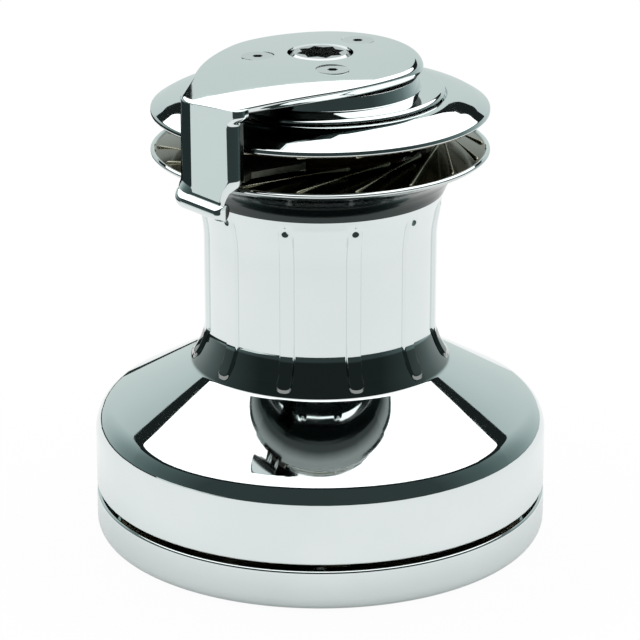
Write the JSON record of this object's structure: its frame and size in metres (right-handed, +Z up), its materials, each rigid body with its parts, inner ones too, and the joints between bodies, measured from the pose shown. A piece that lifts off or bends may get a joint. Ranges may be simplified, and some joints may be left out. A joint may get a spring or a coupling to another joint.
{
  "type": "sailboat winch",
  "caption": "Two-speed self-tailing sailboat winch with a ribbed drum, spring-loaded rope jaws, a fixed feeder arm and a handle socket.",
  "frame": {"origin": "centre of the base's underside, on the drum's axis", "axes": "+Z up along the drum's axis; the feeder arm's leg lies towards -X -Y"},
  "size_m": [0.2368, 0.2368, 0.2566],
  "materials": {
    "mirror_steel": "mirror-polished stainless steel",
    "spindle_steel": "turned and broached",
    "screw_steel": "bright screws",
    "bronze": "cast and machined bronze, greased",
    "gear_steel": "ground hardened steel",
    "spring_steel": "bright spring steel",
    "bearing_plastic": "moulded bearing plastic",
    "stripper_plastic": "moulded grey-brown plastic"
  },
  "bodies": {
    "base": {"base_ring": "mirror_steel", "base_plate": "bronze", "centre_stem": "bronze", "pillar_bolts": "screw_steel", "layshaft_pin": "gear_steel", "inner_idler_pin": "gear_steel", "outer_idler_pin": "gear_steel", "spindle_foot_bush": "bronze", "spindle_middle_bush": "bronze", "spindle_upper_bush": "bronze", "drum_thrust_washer": "bearing_plastic", "hub_cover": "mirror_steel", "self_tailing_arm": "mirror_steel", "arm_screws": "screw_steel", "stripper_finger": "stripper_plastic", "stripper_screws": "screw_steel"},
    "drum": {"drum": "mirror_steel", "ring_gear": "gear_steel", "ring_gear_screws": "screw_steel", "lower_jaw": "mirror_steel", "jaw_retainer": "spring_steel", "jaw_spring": "spring_steel"},
    "upper_jaw": {"upper_jaw": "mirror_steel"},
    "spindle": {"main_spindle": "spindle_steel", "spindle_snap_ring": "spring_steel", "first_speed_pawl_springs": "spring_steel"},
    "first_gear": {"first_speed_gear": "bronze"},
    "inner_idler": {"inner_idler_gear": "bronze"},
    "outer_idler": {"outer_idler_gear": "bronze"},
    "second_pinion": {"second_speed_pinion": "gear_steel", "second_speed_pawl_springs": "spring_steel"},
    "second_gear": {"second_speed_gear": "bronze"},
    "first_pawl_front": {"first_speed_pawl_front": "gear_steel"},
    "first_pawl_rear": {"first_speed_pawl_rear": "gear_steel"},
    "second_pawl_front": {"second_speed_pawl_front": "gear_steel"},
    "second_pawl_rear": {"second_speed_pawl_rear": "gear_steel"},
    "lower_cage": {"lower_bearing_cage": "bearing_plastic", "lower_bearing_rollers": "spring_steel"},
    "upper_cage": {"upper_bearing_cage": "bearing_plastic", "upper_bearing_rollers": "spring_steel"}
  },
  "joints": [
    {"name": "drum_spin", "type": "hinge", "parent": "base", "child": "drum", "pos_m": [0, 0, 0], "axis": [0, 0, 1], "continuous": true},
    {"name": "spindle_spin", "type": "hinge", "parent": "base", "child": "spindle", "pos_m": [0, 0, 0], "axis": [0, 0, 1], "continuous": true},
    {"name": "first_gear_spin", "type": "hinge", "parent": "base", "child": "first_gear", "pos_m": [0, 0, 0], "axis": [0, 0, 1], "continuous": true},
    {"name": "inner_idler_spin", "type": "hinge", "parent": "base", "child": "inner_idler", "pos_m": [-0.02925, -0.05066, 0], "axis": [0, 0, 1], "continuous": true},
    {"name": "outer_idler_spin", "type": "hinge", "parent": "base", "child": "outer_idler", "pos_m": [0.00787, -0.07609, 0], "axis": [0, 0, 1], "continuous": true},
    {"name": "second_pinion_spin", "type": "hinge", "parent": "base", "child": "second_pinion", "pos_m": [0, 0.0615, 0], "axis": [0, 0, 1], "continuous": true},
    {"name": "second_gear_spin", "type": "hinge", "parent": "base", "child": "second_gear", "pos_m": [0, 0.0615, 0], "axis": [0, 0, 1], "continuous": true},
    {"name": "lower_cage_spin", "type": "hinge", "parent": "base", "child": "lower_cage", "pos_m": [0, 0, 0], "axis": [0, 0, 1], "continuous": true},
    {"name": "upper_cage_spin", "type": "hinge", "parent": "base", "child": "upper_cage", "pos_m": [0, 0, 0], "axis": [0, 0, 1], "continuous": true},
    {"name": "first_pawl_front_swing", "type": "hinge", "parent": "spindle", "child": "first_pawl_front", "pos_m": [0.017, 0, 0], "axis": [0, 0, 1], "range_deg": [-14, 0], "stiffness_Nm_per_rad": 0.004, "springref_deg": 17.19},
    {"name": "first_pawl_rear_swing", "type": "hinge", "parent": "spindle", "child": "first_pawl_rear", "pos_m": [-0.017, 0, 0], "axis": [0, 0, 1], "range_deg": [-14, 0], "stiffness_Nm_per_rad": 0.004, "springref_deg": 17.19},
    {"name": "second_pawl_front_swing", "type": "hinge", "parent": "second_pinion", "child": "second_pawl_front", "pos_m": [0.016, 0.0615, 0], "axis": [0, 0, 1], "range_deg": [0, 8], "stiffness_Nm_per_rad": 0.004, "springref_deg": -17.19},
    {"name": "second_pawl_rear_swing", "type": "hinge", "parent": "second_pinion", "child": "second_pawl_rear", "pos_m": [-0.016, 0.0615, 0], "axis": [0, 0, 1], "range_deg": [0, 8], "stiffness_Nm_per_rad": 0.004, "springref_deg": -17.19},
    {"name": "upper_jaw_float", "type": "slide", "parent": "drum", "child": "upper_jaw", "axis": [0, 0, 1], "range_m": [0, 0.0015], "stiffness_N_per_m": 9000, "springref_m": -0.004, "deforming": ["jaw_spring"]}
  ],
  "couplings": [
    {"joint": "spindle_spin", "follows": "drum_spin", "ratio": 2.75},
    {"joint": "first_gear_spin", "follows": "drum_spin", "ratio": 2.75},
    {"joint": "inner_idler_spin", "follows": "drum_spin", "ratio": -4.4},
    {"joint": "outer_idler_spin", "follows": "drum_spin", "ratio": 4.4},
    {"joint": "second_pinion_spin", "follows": "drum_spin", "ratio": 2.64},
    {"joint": "second_gear_spin", "follows": "drum_spin", "ratio": -1.1379},
    {"joint": "lower_cage_spin", "follows": "drum_spin", "ratio": 0.54348},
    {"joint": "upper_cage_spin", "follows": "drum_spin", "ratio": 0.54348}
  ]
}
